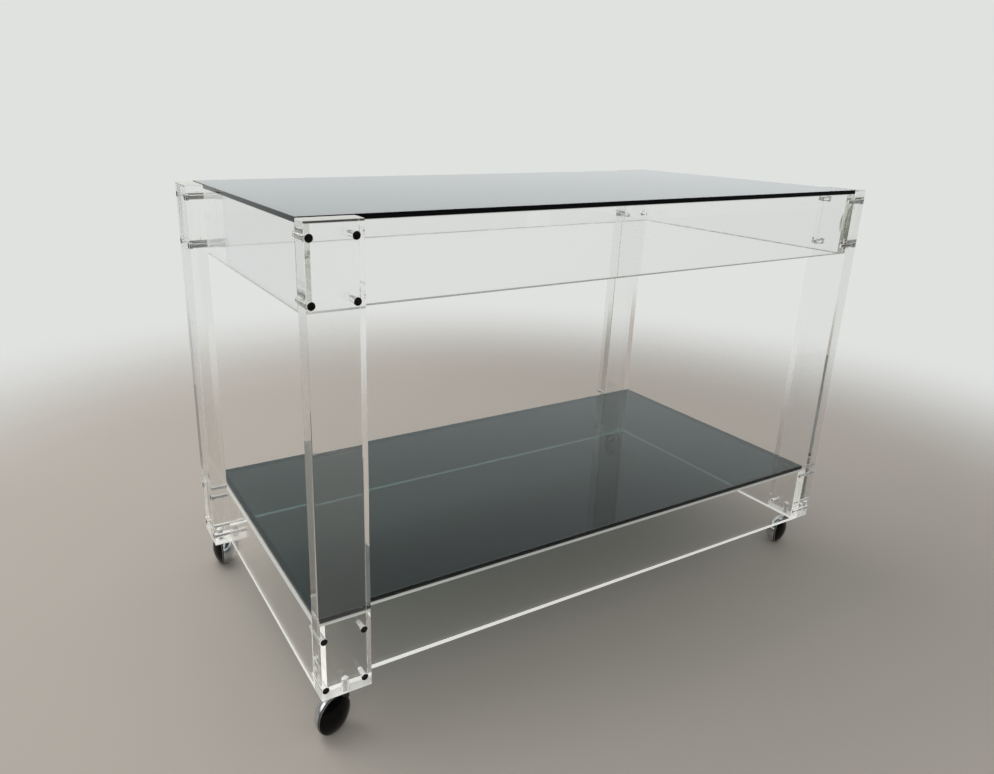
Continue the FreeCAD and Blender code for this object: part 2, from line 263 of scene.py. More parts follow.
def cast_acrylic(name, finishes, glow):
    """Cast acrylic: water clear with hairline scratches, and milky on its sawn tops and bottoms.

    The sawn faces glow white with painted light though they are no lamp, most at the bottoms near the floor,
    where they are also painted brightest; higher ones get painted shade.
    """
    material, tree = new_material(name)
    facing = add_node(tree, "ShaderNodeNewGeometry")["True Normal"]
    upward = add_node(tree, "ShaderNodeSeparateXYZ", {"Vector": facing})["Z"]
    level = add_node(tree, "ShaderNodeMath", {0: upward}, operation="ABSOLUTE")["Value"]
    sawn = add_node(tree, "ShaderNodeMapRange", {
        "Value": level,
        "From Min": 0.5,
        "From Max": 0.65,
    })["Result"]
    place = add_node(tree, "ShaderNodeTexCoord")["Object"]
    # Painted light by height: near the floor the milky faces are brightest and glow most
    near_floor = add_node(tree, "ShaderNodeMapRange", {
        "Value": add_node(tree, "ShaderNodeSeparateXYZ", {"Vector": place})["Z"],
        "From Min": PAINTED_SHADE_ABOVE,
        "From Max": PAINTED_LIGHT_BELOW,
    })["Result"]
    # Painted shade: milky faces far from the floor are drawn darker than those near it
    milky = add_node(tree, "ShaderNodeMix", {
        "Factor": near_floor,
        "A": shaded(finishes.sawn_edge_and_painted_glow, finishes.upper_edge_painted_shade),
        "B": finishes.sawn_edge_and_painted_glow,
    }, data_type="RGBA")["Result"]
    # Painted glow: every milky face emits light though it is no lamp, a fifth as much far from the floor
    painted_glow_falloff = add_node(tree, "ShaderNodeMapRange", {"Value": near_floor, "To Min": 0.2})["Result"]
    lit = add_node(tree, "ShaderNodeMath", {0: sawn, 1: painted_glow_falloff}, operation="MULTIPLY")["Value"]
    hairlines = scratches(tree, length=22 * MM, width=0.35 * MM, turn=HAIRLINE_TURN)
    surface = add_node(tree, "ShaderNodeBsdfPrincipled", {
        "Base Color": add_node(tree, "ShaderNodeMix", {
            "Factor": sawn,
            "A": WHITE,
            "B": milky,
        }, data_type="RGBA")["Result"],
        "Transmission Weight": add_node(tree, "ShaderNodeMapRange", {
            "Value": sawn,
            "To Min": 1.0,
            "To Max": 0.06,
        })["Result"],
        "IOR": 1.49,
        "Roughness": add_node(tree, "ShaderNodeMix", {
            "Factor": sawn,
            "A": mottling(tree, patch=45 * MM, high=0.02, start=0.5, end=0.8, distortion=0.8),
            "B": mottling(tree, patch=1.2 * MM, low=0.5, high=0.75),
        })["Result"],
        "Normal": add_node(tree, "ShaderNodeBump", {"Height": hairlines, "Distance": 0.004 * MM})["Normal"],
        # Painted glow: the emission of the milky faces
        "Emission Color": add_node(tree, "ShaderNodeMix", {
            "Factor": lit,
            "A": BLACK,
            "B": finishes.sawn_edge_and_painted_glow,
        }, data_type="RGBA")["Result"],
        "Emission Strength": glow,
    })
    finish_clear(tree, surface["BSDF"], finishes.acrylic_seen_through, finishes.acrylic_tint_depth)
    return material


def zinc_plated_steel(finishes):
    """Bright zinc on turned steel: grey and a little blue, clouded, with rust at one screw."""
    material, tree = new_material("zinc_plated_steel")
    place = add_node(tree, "ShaderNodeTexCoord")["Object"]
    ends = {0: place, 1: Vector(finishes.rust_place)}
    near = add_node(tree, "ShaderNodeMapRange", {
        "Value": add_node(tree, "ShaderNodeVectorMath", ends, operation="DISTANCE")["Value"],
        "From Min": 4 * MM,
        "From Max": 17 * MM,
        "To Min": 1.0,
        "To Max": 0.0,
    })["Result"]
    patchy = {0: near, 1: mottling(tree, patch=3 * MM, detail=5.0)}
    rusty = add_node(tree, "ShaderNodeMapRange", {
        "Value": add_node(tree, "ShaderNodeMath", patchy, operation="MULTIPLY")["Value"],
        "From Min": 0.12,
        "From Max": 0.42,
    })["Result"]
    clouds = {"patch": 2.5 * MM}
    zinc = add_node(tree, "ShaderNodeMix", {
        "Factor": mottling(tree, **clouds),
        "A": finishes.zinc,
        "B": finishes.zinc_cloud,
    }, data_type="RGBA")["Result"]
    dullness = {0: rusty, 1: mottling(tree, high=0.25, **clouds)}
    surface = add_node(tree, "ShaderNodeBsdfPrincipled", {
        "Base Color": add_node(tree, "ShaderNodeMix", {
            "Factor": rusty,
            "A": zinc,
            "B": finishes.rust,
        }, data_type="RGBA")["Result"],
        "Metallic": add_node(tree, "ShaderNodeMapRange", {
            "Value": rusty,
            "To Min": 1.0,
            "To Max": 0.0,
        })["Result"],
        "Roughness": add_node(tree, "ShaderNodeMapRange", {
            "Value": add_node(tree, "ShaderNodeMath", dullness, operation="ADD")["Value"],
            "To Min": 0.22,
            "To Max": 0.85,
        })["Result"],
    })
    add_node(tree, "ShaderNodeOutputMaterial", {"Surface": surface["BSDF"]})
    return material


def moulded_plastic(name, colour, roughness, grain, grain_depth, dust, dust_share, specular=0.5):
    """A moulded plastic: even colour, fine mould grain, and dust that dulls it in patches.

    Real grain is about a tenth of a millimetre, and it is drawn coarser, so that it shows.
    """
    material, tree = new_material(name)
    patches = {"patch": 7 * MM, "start": 0.35, "end": 0.75, "detail": 4.0}
    surface = add_node(tree, "ShaderNodeBsdfPrincipled", {
        "Base Color": add_node(tree, "ShaderNodeMix", {
            "Factor": mottling(tree, high=dust_share, **patches),
            "A": colour,
            "B": dust,
        }, data_type="RGBA")["Result"],
        "IOR": 1.5,
        "Specular IOR Level": specular,
        "Roughness": mottling(tree, low=roughness, high=roughness + DUST_DULLS, **patches),
        "Normal": add_node(tree, "ShaderNodeBump", {
            "Height": mottling(tree, patch=grain),
            "Distance": grain_depth,
        })["Normal"],
    })
    add_node(tree, "ShaderNodeOutputMaterial", {"Surface": surface["BSDF"]})
    return material


def natural_nylon(finishes):
    """Unpigmented nylon: milky cream, so light soaks into it."""
    material, tree = new_material("natural_nylon")
    flow = {"patch": 6 * MM}
    surface = add_node(tree, "ShaderNodeBsdfPrincipled", {
        "Base Color": add_node(tree, "ShaderNodeMix", {
            "Factor": mottling(tree, **flow),
            "A": finishes.nylon,
            "B": finishes.nylon_flow,
        }, data_type="RGBA")["Result"],
        "IOR": 1.53,
        "Roughness": mottling(tree, low=0.32, high=0.5, **flow),
        "Subsurface Weight": 0.5,
        "Subsurface Radius": (3.5 * MM, 3 * MM, 2.5 * MM),
        "Subsurface Scale": 1.0,
    })
    add_node(tree, "ShaderNodeOutputMaterial", {"Surface": surface["BSDF"]})
    return material


def metal(name, colour, roughness, wear_share, streak_length, streak_width, streak_depth):
    """A bright metal with tarnish patches and the fine streaks of its making."""
    material, tree = new_material(name)
    tarnish = {"patch": 9 * MM, "end": 0.8, "detail": 4.0, "distortion": 0.6}
    streaks = scratches(tree, streak_length, streak_width, STREAK_TURN)
    surface = add_node(tree, "ShaderNodeBsdfPrincipled", {
        "Base Color": add_node(tree, "ShaderNodeMix", {
            "Factor": mottling(tree, start=0.4, **tarnish),
            "A": colour,
            "B": shaded(colour, wear_share),
        }, data_type="RGBA")["Result"],
        "Metallic": 1.0,
        "Roughness": mottling(tree, low=roughness, high=roughness * TARNISH_DULLS, start=0.3, **tarnish),
        "Normal": add_node(tree, "ShaderNodeBump", {"Height": streaks, "Distance": streak_depth})["Normal"],
    })
    add_node(tree, "ShaderNodeOutputMaterial", {"Surface": surface["BSDF"]})
    return material


def tyre_rubber(finishes):
    """Grey rubber tread: matt, with pale floor dust pressed into it."""
    material, tree = new_material("tyre_rubber")
    dust = {"patch": 4 * MM, "start": 0.4, "end": 0.8, "detail": 6.0}
    surface = add_node(tree, "ShaderNodeBsdfPrincipled", {
        "Base Color": add_node(tree, "ShaderNodeMix", {
            "Factor": mottling(tree, high=0.55, **dust),
            "A": finishes.rubber,
            "B": finishes.floor_dust,
        }, data_type="RGBA")["Result"],
        "IOR": 1.52,
        "Roughness": mottling(tree, low=0.6, high=0.9, **dust),
        "Normal": add_node(tree, "ShaderNodeBump", {
            "Height": mottling(tree, patch=0.8 * MM),
            "Distance": 0.05 * MM,
        })["Normal"],
    })
    add_node(tree, "ShaderNodeOutputMaterial", {"Surface": surface["BSDF"]})
    return material


def thin_film(name, colour, cover):
    """A dried film between two faces: dull and patchy, thin enough to see through."""
    material, tree = new_material(name)
    patches = {"patch": 6 * MM, "detail": 4.0}
    surface = add_node(tree, "ShaderNodeBsdfPrincipled", {
        "Base Color": add_node(tree, "ShaderNodeMix", {
            "Factor": mottling(tree, **patches),
            "A": colour,
            "B": shaded(colour, FILM_DARK_SHARE),
        }, data_type="RGBA")["Result"],
        "Roughness": 0.6,
        "Alpha": mottling(tree, low=cover * FILM_THIN_SHARE, high=cover, start=0.3, end=0.7, **patches),
    })
    add_node(tree, "ShaderNodeOutputMaterial", {"Surface": surface["BSDF"]})
    return material


def floor_paint(stage):
    """A plain pale floor that fades out into the backdrop."""
    material, tree = new_material("floor_paint")
    place = add_node(tree, "ShaderNodeTexCoord")["Object"]
    fade = add_node(tree, "ShaderNodeMapRange", {
        "Value": add_node(tree, "ShaderNodeVectorMath", {0: place}, operation="LENGTH")["Value"],
        "From Min": stage.fade_start,
        "From Max": stage.fade_end,
    }, interpolation_type="SMOOTHERSTEP")["Result"]
    paint = add_node(tree, "ShaderNodeBsdfPrincipled", {
        "Base Color": add_node(tree, "ShaderNodeMix", {
            "Factor": mottling(tree, patch=350 * MM, detail=5.0),
            "A": stage.floor_colour,
            "B": shaded(stage.floor_colour, FLOOR_DARK_SHARE),
        }, data_type="RGBA")["Result"],
        "Roughness": 0.62,
        "Specular IOR Level": 0.3,
    })
    gone = add_node(tree, "ShaderNodeBsdfTransparent")
    faded = add_node(tree, "ShaderNodeMixShader", {0: fade, 1: paint["BSDF"], 2: gone["BSDF"]})
    add_node(tree, "ShaderNodeOutputMaterial", {"Surface": faded["Shader"]})
    return material


# Meshes

def solids_of(node):
    """The separate solids of a node, each as its lowest and highest corner."""
    shape = bmesh.new()
    shape.from_mesh(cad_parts[node].data)
    bmesh.ops.remove_doubles(shape, verts=shape.verts, dist=SAME_POINT)
    left = set(shape.verts)
    found = []
    while left:
        group = [left.pop()]
        for vertex in group:
            for edge in vertex.link_edges:
                other = edge.other_vert(vertex)
                if other in left:
                    left.remove(other)
                    group.append(other)
        low = Vector([min(v.co[i] for v in group) for i in range(3)])
        high = Vector([max(v.co[i] for v in group) for i in range(3)])
        found.append((low, high))
    shape.free()
    return sorted(found, key=lambda ends: [round(ends[0][axis], PLACE_DIGITS) for axis in (2, 0, 1)])


def new_piece(name, mesh, material):
    """Links a mesh to the scene as a piece with one material."""
    mesh.name = name
    mesh.materials.clear()
    mesh.materials.append(material)
    piece = bpy.data.objects.new(name, mesh)
    bpy.context.scene.collection.objects.link(piece)
    return piece


def mesh_from(shape, name):
    """A mesh of a bmesh whose doubles are merged and whose faces point outwards."""
    bmesh.ops.remove_doubles(shape, verts=shape.verts, dist=SAME_POINT)
    bmesh.ops.recalc_face_normals(shape, faces=shape.faces)
    mesh = bpy.data.meshes.new(name)
    shape.to_mesh(mesh)
    shape.free()
    return mesh


def shade(mesh):
    """Smooth shading, with the sharp edges kept."""
    mesh.polygons.foreach_set("use_smooth", [True] * len(mesh.polygons))
    mesh.set_sharp_from_angle(angle=SHARP_ANGLE)


def dress(material, *nodes):
    """Gives nodes of the frame a material."""
    for name in nodes:
        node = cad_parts[name]
        if not node.material_slots:
            node.data.materials.append(material)
        for slot in node.material_slots:
            slot.material = material


# Geometry Nodes

def new_tree(name, sizes):
    """A Geometry Nodes tree with geometry in and out, a material and named sizes."""
    tree = bpy.data.node_groups.new(name, "GeometryNodeTree")
    face = tree.interface
    face.new_socket("Geometry", in_out="INPUT", socket_type="NodeSocketGeometry")
    face.new_socket("Geometry", in_out="OUTPUT", socket_type="NodeSocketGeometry")
    face.new_socket("Material", in_out="INPUT", socket_type="NodeSocketMaterial")
    for size, value in sizes.items():
        kind = "NodeSocketVector" if isinstance(value, Vector) else "NodeSocketFloat"
        face.new_socket(size, in_out="INPUT", socket_type=kind)
    return tree, add_node(tree, "NodeGroupInput")


def total(tree, *terms):
    """The sum of sizes, each times its factor."""
    result = 0.0
    for size, factor in terms:
        parts = {0: size, 1: factor, 2: result}
        result = add_node(tree, "ShaderNodeMath", parts, operation="MULTIPLY_ADD")["Value"]
    return result


def raised(tree, shape, height):
    """A shape that is moved up by a height."""
    lift = add_node(tree, "ShaderNodeCombineXYZ", {"Z": height})
    return add_node(tree, "GeometryNodeTransform", {
        "Geometry": shape,
        "Translation": lift["Vector"],
    })["Geometry"]


def turned(tree, outline, sides):
    """A turned shell through pairs of radius and height, from the lowest up."""
    bands = []
    for (radius, height), (next_radius, next_height) in zip(outline, outline[1:]):
        band = add_node(tree, "GeometryNodeMeshCone", {
            "Vertices": sides,
            "Radius Bottom": radius,
            "Radius Top": next_radius,
            "Depth": total(tree, (next_height, 1), (height, -1)),
        }, fill_type="NONE")
        bands.append(raised(tree, band["Mesh"], height))
    return add_node(tree, "GeometryNodeMergeByDistance", {
        "Geometry": add_node(tree, "GeometryNodeJoinGeometry", {"Geometry": bands})["Geometry"],
        "Distance": SAME_RING_POINT,
    })["Geometry"]


def copy_out(tree, given, shapes):
    """Ends a tree: its shapes are copied onto the points, with their tops facing outwards."""
    whole = add_node(tree, "GeometryNodeJoinGeometry", {"Geometry": shapes})
    turn = add_node(tree, "FunctionNodeAlignRotationToVector", {"Vector": given["Facing"]}, axis="Z")
    placed = add_node(tree, "GeometryNodeInstanceOnPoints", {
        "Points": given["Geometry"],
        "Instance": whole["Geometry"],
        "Rotation": turn["Rotation"],
    })
    real = add_node(tree, "GeometryNodeRealizeInstances", {"Geometry": placed["Instances"]})
    painted = add_node(tree, "GeometryNodeSetMaterial", {
        "Geometry": real["Geometry"],
        "Material": given["Material"],
    })
    add_node(tree, "NodeGroupOutput", {"Geometry": painted["Geometry"]})


def made_by(tree, name, points, material, sizes):
    """The plain mesh that a tree makes on a mesh of points."""
    base = bpy.data.meshes.new(name)
    base.from_pydata(points, [], [])
    holder = bpy.data.objects.new(name, base)
    bpy.context.scene.collection.objects.link(holder)
    modifier = holder.modifiers.new(tree.name, "NODES")
    modifier.node_group = tree
    named = {item.name: item.identifier for item in tree.interface.items_tree if item.in_out == "INPUT"}
    modifier[named["Material"]] = material
    for size, value in sizes.items():
        modifier[named[size]] = value
    bpy.context.view_layer.update()
    result = bpy.data.meshes.new_from_object(holder.evaluated_get(bpy.context.evaluated_depsgraph_get()))
    holder.modifiers.remove(modifier)
    bpy.data.objects.remove(holder)
    shape = bmesh.new()
    shape.from_mesh(result)
    bpy.data.meshes.remove(result)
    return mesh_from(shape, name)


def screw_tree(sizes):
    """Screws with a cylinder head and a 60 degree thread, one at each point.

    The thread's ridge is an even triangle, so its radius is its foot over the root of three.
    """
    tree, given = new_tree("threaded_screws", sizes)
    pitch = given["Thread Pitch"]
    edge = given["Edge"]
    tip = total(tree, (given["Length"], -1))
    under_head = total(tree, (given["Head Height"], -1))
    ridge = total(tree, (pitch, THREAD_FOOT_SHARE / math.sqrt(3)))
    middle = total(tree, (given["Shank Radius"], 1), (ridge, -1))
    core = total(tree, (middle, 1), (ridge, -THREAD_CORE_SHARE))
    body = turned(tree, [
        (0.0, tip),
        (total(tree, (core, 1), (edge, -1)), tip),
        (core, total(tree, (tip, 1), (edge, 1))),
        (core, under_head),
        (given["Head Radius"], under_head),
        (given["Head Radius"], total(tree, (edge, -1))),
        (total(tree, (given["Head Radius"], 1), (edge, -1)), 0.0),
        (0.0, 0.0),
    ], SCREW_SIDES)
    threaded = total(tree, (under_head, 1), (tip, -1), (pitch, -2 * THREAD_END_SHARE))
    path = add_node(tree, "GeometryNodeCurveSpiral", {
        "Resolution": THREAD_STEPS,
        "Rotations": add_node(tree, "ShaderNodeMath", {0: threaded, 1: pitch}, operation="DIVIDE")["Value"],
        "Start Radius": middle,
        "End Radius": middle,
        "Height": threaded,
    })
    upright = add_node(tree, "GeometryNodeSetCurveNormal", {"Curve": path["Curve"]}, mode="Z_UP")
    profile = add_node(tree, "GeometryNodeCurvePrimitiveCircle", {
        "Resolution": RIDGE_CORNERS,
        "Radius": ridge,
    })
    thread = add_node(tree, "GeometryNodeCurveToMesh", {
        "Curve": upright["Curve"],
        "Profile Curve": profile["Curve"],
        "Fill Caps": True,
    })
    foot = total(tree, (tip, 1), (pitch, THREAD_END_SHARE))
    copy_out(tree, given, [body, raised(tree, thread["Mesh"], foot)])
    return tree


def cap_tree(sizes):
    """Press-in caps with an eased rim and a shallow dished face, one at each point."""
    tree, given = new_tree("dished_caps", sizes)
    edge = given["Edge"]
    back = total(tree, (given["Height"], -1))
    rim = total(tree, (given["Radius"], 1), (edge, -1))
    cap = turned(tree, [
        (0.0, back),
        (rim, back),
        (given["Radius"], total(tree, (back, 1), (edge, 1))),
        (given["Radius"], total(tree, (edge, -1))),
        (rim, 0.0),
    ], CAP_SIDES)
    face = turned(tree, [
        (0.0, total(tree, (given["Dish Depth"], -1))),
        (given["Dish Radius"], total(tree, (given["Dish Depth"], -DISH_EDGE_SHARE))),
        (total(tree, (given["Dish Radius"], DISH_RIM_SHARE)), 0.0),
        (rim, 0.0),
    ], CAP_SIDES)
    copy_out(tree, given, [cap, face])
    return tree


def outward(index):
    """The direction in which a corner's leg faces out."""
    return Matrix.Rotation(QUARTER_TURN * index, 3, "Z") @ Vector((0, -1, 0))


def outer_ends(solids, facing):
    """Each solid's centre on its outermost face, its length along that direction and its radius."""
    ends = []
    for low, high in solids:
        centre = (low + high) / 2
        half = abs((high - low).dot(facing)) / 2
        ends.append((centre + facing * half, 2 * half, (high.z - low.z) / 2))
    return ends


# Films

def bow(start, low, high, reach, steps):
    """Points of an arc between two heights on a line that bows out by a reach."""
    half = (high - low) / 2
    radius = (half ** 2 + reach ** 2) / (2 * reach)
    swing = math.asin(half / radius)
    points = []
    for i in range(steps + 1):
        turn = swing * (2 * i / steps - 1)
        points.append((start + reach - radius * (1 - math.cos(turn)), low + half + radius * math.sin(turn)))
    return points


def drop(place, radius):
    """Points of a round outline that is flatter at the top and narrower below."""
    points = []
    for i in range(STAIN_POINTS):
        turn = 2 * math.pi * i / STAIN_POINTS
        across, up = math.cos(turn), math.sin(turn)
        wide_share, tall_share = UPPER_STAIN_SHARES if up > 0 else LOWER_STAIN_SHARES
        points.append((place.y + radius * wide_share * across, place.z + radius * tall_share * up))
    return points


def thin_plate(name, middle, outline, thickness):
    """A plate across X with an outline of Y and Z places."""
    shape = bmesh.new()
    corners = [shape.verts.new((middle - thickness / 2, y, z)) for y, z in outline]
    face = shape.faces.new(corners)
    grown = bmesh.ops.extrude_face_region(shape, geom=[face])
    moved = [item for item in grown["geom"] if isinstance(item, bmesh.types.BMVert)]
    bmesh.ops.translate(shape, vec=(thickness, 0, 0), verts=moved)
    return mesh_from(shape, name)


def add_film(name, mesh, material):
    """Adds a film that lies in the frame's joint."""
    piece = new_piece(name, mesh, material)
    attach(piece, "frame")


# Sizes and colours that a user would change

def length_property(name, description, default):
    """A length with its unit."""
    return bpy.props.FloatProperty(name=name, description=description, default=default, min=0.0,
                                   precision=5, unit="LENGTH", subtype="DISTANCE")


def place_property(name, description, default):
    """A place with its unit."""
    return bpy.props.FloatVectorProperty(name=name, description=description, default=default, size=3,
                                         unit="LENGTH", subtype="TRANSLATION")


def angle_property(name, description, degrees):
    """An angle, given in degrees."""
    return bpy.props.FloatProperty(name=name, description=description, default=math.radians(degrees),
                                   unit="ROTATION", subtype="ANGLE")


def colour_property(name, description, default):
    """A colour, given as sRGB hex."""
    return bpy.props.FloatVectorProperty(name=name, description=description, default=linear(default),
                                         subtype="COLOR", size=3, min=0.0, max=1.0)


def share_property(name, description, default):
    """A share from nothing to all."""
    return bpy.props.FloatProperty(name=name, description=description, default=default, min=0.0,
                                   max=1.0, subtype="FACTOR")


class TrolleyFinishes(bpy.types.PropertyGroup):
    """Colours of the trolley's own materials."""

    glass_seen_through: colour_property(
        "Glass tint", "White seen through one shelf's thickness", "#667b7a")
    acrylic_seen_through: colour_property(
        "Acrylic tint", "White seen through the acrylic's tint depth", "#f9f9f7")
    acrylic_tint_depth: length_property(
        "Acrylic tint depth", "Depth of acrylic that gives white the tint", 100 * MM)
    # The sawn faces' milky colour, which is also the colour of their painted glow
    sawn_edge_and_painted_glow: colour_property(
        "Sawn edges", "Milky bottoms of the acrylic pieces near the floor", "#f3f2ec")
    # Painted shade: milky faces far from the floor are drawn darker by this share
    upper_edge_painted_shade: share_property(
        "Clean edges", "Brightness of the other milky edges beside those near the floor", 0.68)
    # Painted glow: emission from the milky faces of legs and aprons, though they are no lamp
    leg_painted_glow: bpy.props.FloatProperty(
        name="Leg glow", description="Light that comes out at the legs' scuffed bottoms",
        default=0.2, min=0.0)
    apron_painted_glow: bpy.props.FloatProperty(
        name="Apron glow", description="Light that comes out at the aprons' scuffed bottoms",
        default=0.5, min=0.0)
    zinc: colour_property("Zinc", "Zinc plate on the screws", "#bfc3c6")
    zinc_cloud: colour_property("Zinc cloud", "Darker clouds in the zinc plate", "#8f9498")
    rust: colour_property("Rust", "Rust on one screw", "#6b4423")
    rust_place: place_property("Rust place", "Middle of the rusted screw", (0.450, -0.220, 0.544))
    cap: colour_property("Caps", "Black polyethylene caps", "#060606")
    nylon: colour_property("Nylon", "Unpigmented nylon of the stem sockets", "#f6f6f2")
    nylon_flow: colour_property("Nylon flow", "Creamier streaks in the nylon", "#e9e8e0")
    chrome: colour_property("Chrome", "Chromed domes of the casters", "#d2d5d8")
    drawn_steel: colour_property("Drawn steel", "Stems and axles", "#b9bbbd")
    spring_steel: colour_property("Spring steel", "Blued grip rings and washers", "#3f444c")
    carrier: colour_property("Carriers", "Black nylon inside the domes", "#121213")
    wheel: colour_property("Wheels", "Glossy wheel faces", "#030304")
    rubber: colour_property("Tyres", "Rubber of the treads", "#5d5a55")
    dust: colour_property("Dust", "Dust on the moulded plastics", "#a59f95")
    floor_dust: colour_property("Floor dust", "Dust pressed into the treads", "#87827a")
    film: colour_property("Film", "Dried film in one joint", "#a8a88e")
    stain: colour_property("Stain", "Rust stain round one screw", "#6a5424")


class TrolleySizes(bpy.types.PropertyGroup):
    """Small sizes that only the finish has."""

    thread_pitch: length_property("Thread pitch", "Pitch of the screws' thread", 1.0 * MM)
    head_height: length_property("Head height", "Height of a screw's head", 3.6 * MM)
    screw_edge: length_property("Screw edge", "Chamfer on a screw's head and tip", 0.35 * MM)
    cap_edge: length_property("Cap edge", "Eased rim of a cap", 0.25 * MM)
    dish_depth: length_property("Dish depth", "Depth of the dish in a cap", 0.35 * MM)
    film_bottom: length_property("Film bottom", "Height of the dried film's lower end", 545 * MM)
    film_top: length_property("Film top", "Height of the dried film's upper end", 612 * MM)
    film_width: length_property("Film width", "Reach of the film into the joint", 21 * MM)
    film_thickness: length_property(
        "Film thickness", "Thickness of the film, which wets both faces", 0.14 * MM)
    stain_radius: length_property("Stain radius", "Size of the rust stain", 5.5 * MM)


class TrolleyStage(bpy.types.PropertyGroup):
    """Floor, light and camera around the trolley."""

    floor_colour: colour_property("Floor", "Colour of the floor", "#b5aea5")
    backdrop: colour_property("Backdrop", "Colour behind the trolley", "#e0e2e0")
    mirrored_wall: colour_property(
        "Mirrored wall", "Colour behind the trolley, as gloss mirrors it", "#f0f4f5")
    overhead: colour_property("Overhead", "Colour of the room above", "#8d9092")
    dim_side: colour_property("Dim side", "Room in front and at the left, as gloss mirrors it", "#505254")
    fade_start: length_property("Fade start", "Radius at which the floor starts to fade", 0.85)
    fade_end: length_property("Fade end", "Radius at which the floor has gone", 2.0)
    fill: bpy.props.FloatProperty(
        name="Fill", description="Strength of the room's own light", default=0.55, min=0.0)
    lamp_power: bpy.props.FloatProperty(
        name="Lamp power", description="Power of the main soft lamp", default=42.0, min=0.0, unit="POWER")
    main_lamp_place: place_property(
        "Main lamp place", "Place of the main lamp from the trolley's middle", (-0.9, 1.3, 2.3))
    main_lamp_size: length_property("Main lamp size", "Side of the main lamp", 2.2)
    front_lamp_place: place_property(
        "Front lamp place", "Place of the front lamp from the trolley's middle", (-1.6, -1.9, 1.7))
    front_lamp_size: length_property("Front lamp size", "Side of the front lamp", 1.4)
    front_lamp_share: share_property(
        "Front lamp share", "Power of the front lamp beside the main lamp's", 0.3)
    lens: bpy.props.FloatProperty(
        name="Lens", description="Focal length", default=27.85, min=1.0, unit="CAMERA")
    sensor_width: bpy.props.FloatProperty(
        name="Sensor width", description="Width of the camera's sensor", default=36.0, min=1.0,
        unit="CAMERA")
    shift_x: bpy.props.FloatProperty(
        name="Shift X", description="Sideways shift of the picture, in its widths", default=0.0485)
    shift_y: bpy.props.FloatProperty(
        name="Shift Y", description="Upward shift of the picture, in its widths", default=-0.0169)
    camera_place: place_property(
        "Camera place", "Where the camera stands", (-0.7000, -0.9673, 0.7282))
    heading: angle_property("Heading", "Turn of the view from +Y towards +X", 30.08)
    tilt: angle_property("Tilt", "Downward tilt of the view", 18.36)
    roll: angle_property("Roll", "Clockwise roll of the view", 1.14)


# Stage

def add_floor(stage):
    """A flat floor disc under the wheels."""
    shape = bmesh.new()
    bmesh.ops.create_circle(shape, cap_ends=True, segments=FLOOR_SIDES, radius=stage.fade_end + FLOOR_RIM)
    floor = new_piece("floor", mesh_from(shape, "floor"), floor_paint(stage))


def add_room_light(stage):
    """A pale room with its own fill light: dimmer overhead, and in front and at the left for gloss.

    Gloss mirrors a soft glow where the main lamp hangs.
    """
    world = bpy.data.worlds.new("pale_room")
    bpy.context.scene.world = world
    world.use_nodes = True
    tree = world.node_tree
    tree.nodes.clear()
    direction = add_node(tree, "ShaderNodeTexCoord")["Generated"]
    side = add_node(tree, "ShaderNodeSeparateXYZ", {"Vector": direction})
    rise = add_node(tree, "ShaderNodeMapRange", {
        "Value": side["Z"],
        "From Min": 0.22,
        "From Max": 0.75,
    })["Result"]
    in_front = add_node(tree, "ShaderNodeMapRange", {
        "Value": side["Y"],
        "From Min": -0.25,
        "From Max": 0.1,
        "To Min": 1.0,
        "To Max": 0.0,
    })["Result"]
    at_left = add_node(tree, "ShaderNodeMapRange", {
        "Value": side["X"],
        "From Min": -0.4,
        "From Max": 0.0,
        "To Min": 0.75,
        "To Max": 0.0,
    })["Result"]
    lamp_side = {0: direction, 1: GLOW_DIRECTION}
    glow = add_node(tree, "ShaderNodeMapRange", {
        "Value": add_node(tree, "ShaderNodeVectorMath", lamp_side, operation="DOT_PRODUCT")["Value"],
        "From Min": 0.8,
        "From Max": 0.95,
    })["Result"]
    dimmer = add_node(tree, "ShaderNodeMath", {0: in_front, 1: at_left}, operation="MAXIMUM")["Value"]
    seen = add_node(tree, "ShaderNodeMix", {
        "Factor": rise,
        "A": stage.backdrop,
        "B": stage.overhead,
    }, data_type="RGBA")["Result"]
    mirrored = add_node(tree, "ShaderNodeMix", {
        "Factor": rise,
        "A": stage.mirrored_wall,
        "B": stage.overhead,
    }, data_type="RGBA")["Result"]
    for share, colour in ((dimmer, stage.dim_side), (glow, GLOW_COLOUR)):
        mirrored = add_node(tree, "ShaderNodeMix", {
            "Factor": share,
            "A": mirrored,
            "B": colour,
        }, data_type="RGBA")["Result"]
    path = add_node(tree, "ShaderNodeLightPath")
    shown = {0: path["Is Camera Ray"], 1: path["Is Transmission Ray"]}
    shown_rays = add_node(tree, "ShaderNodeMath", shown, operation="MAXIMUM")["Value"]
    surface = add_node(tree, "ShaderNodeBackground", {
        "Color": WHITE,
        "Strength": stage.fill,
    })["Background"]
    for rays, colour in ((path["Is Glossy Ray"], mirrored), (shown_rays, seen)):
        shine = add_node(tree, "ShaderNodeBackground", {"Color": colour, "Strength": 1.0})["Background"]
        surface = add_node(tree, "ShaderNodeMixShader", {0: rays, 1: surface, 2: shine})["Shader"]
    add_node(tree, "ShaderNodeOutputWorld", {"Surface": surface})


def add_lamp(name, place, target, size, power, mirrored):
    """A square soft lamp that faces its target, and that gloss mirrors or not."""
    light = bpy.data.lights.new(name, "AREA")
    light.shape = "SQUARE"
    light.size = size
    light.energy = power
    lamp = bpy.data.objects.new(name, light)
    lamp.location = place
    lamp.visible_glossy = mirrored
    lamp.rotation_euler = (Vector(target) - Vector(place)).to_track_quat("-Z", "Y").to_euler()
    bpy.context.scene.collection.objects.link(lamp)


